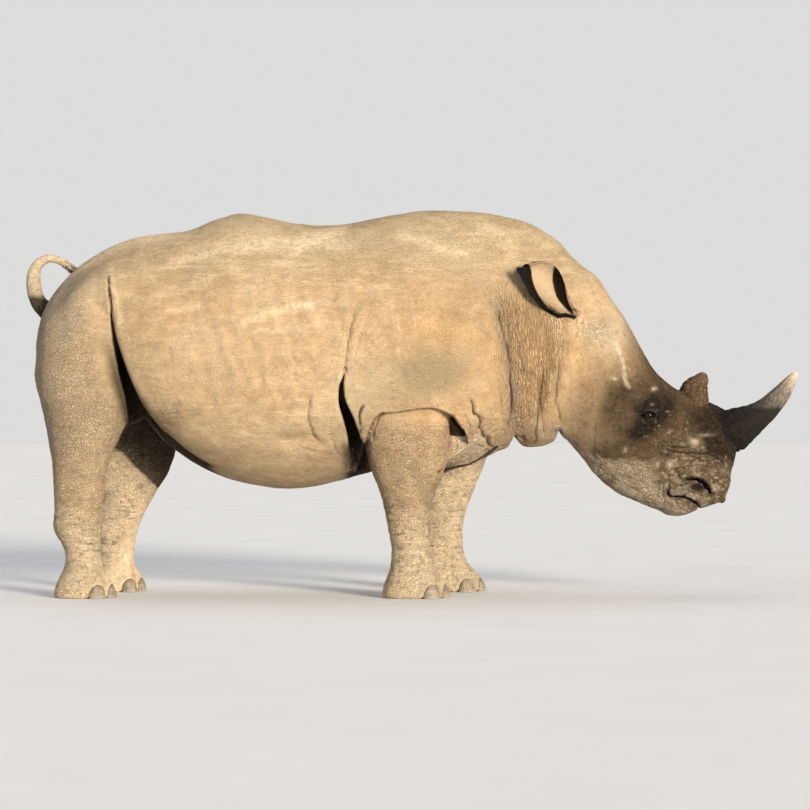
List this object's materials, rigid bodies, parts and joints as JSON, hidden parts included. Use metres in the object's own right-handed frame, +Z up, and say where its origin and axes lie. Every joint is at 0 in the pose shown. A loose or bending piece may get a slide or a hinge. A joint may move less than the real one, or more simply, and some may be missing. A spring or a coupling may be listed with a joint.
{
  "type": "white rhinoceros",
  "caption": "Life-size standing white rhinoceros with lowered head, front and rear horns, side-turned ears and a curled tail.",
  "frame": {"origin": "on the ground at the middle of the animal's bounding box, on its plane of symmetry", "axes": "+X forward from tail to horn, +Y to the animal's left, +Z up"},
  "size_m": [3.5869, 1.1274, 1.7833],
  "materials": {
    "hide": "dry, dusty, finely wrinkled tan hide",
    "leg_hide": "dry, pebbled hide, pale with dust towards the feet",
    "face_hide": "dry brown hide, charcoal round the eyes, cracked on the jaw",
    "horn_front": "worn keratin, dark at the base, pale at the tip",
    "horn_rear": "rough reddish-brown keratin",
    "eye": "wet and glossy, very dark brown",
    "nail": "dull grey-brown keratin, scuffed"
  },
  "bodies": {
    "root": {"trunk": "hide", "neck": "hide", "tail": "hide", "ear_left": "hide", "ear_right": "hide", "leg_front_left": "leg_hide", "leg_front_right": "leg_hide", "leg_hind_left": "leg_hide", "leg_hind_right": "leg_hide", "head": "face_hide", "horn_front": "horn_front", "horn_rear": "horn_rear", "eye_left": "eye", "eye_right": "eye", "nail_front_left_inner": "nail", "nail_front_left_middle": "nail", "nail_front_left_outer": "nail", "nail_front_right_inner": "nail", "nail_front_right_middle": "nail", "nail_front_right_outer": "nail", "nail_hind_left_inner": "nail", "nail_hind_left_middle": "nail", "nail_hind_left_outer": "nail", "nail_hind_right_inner": "nail", "nail_hind_right_middle": "nail", "nail_hind_right_outer": "nail"}
  },
  "joints": []
}
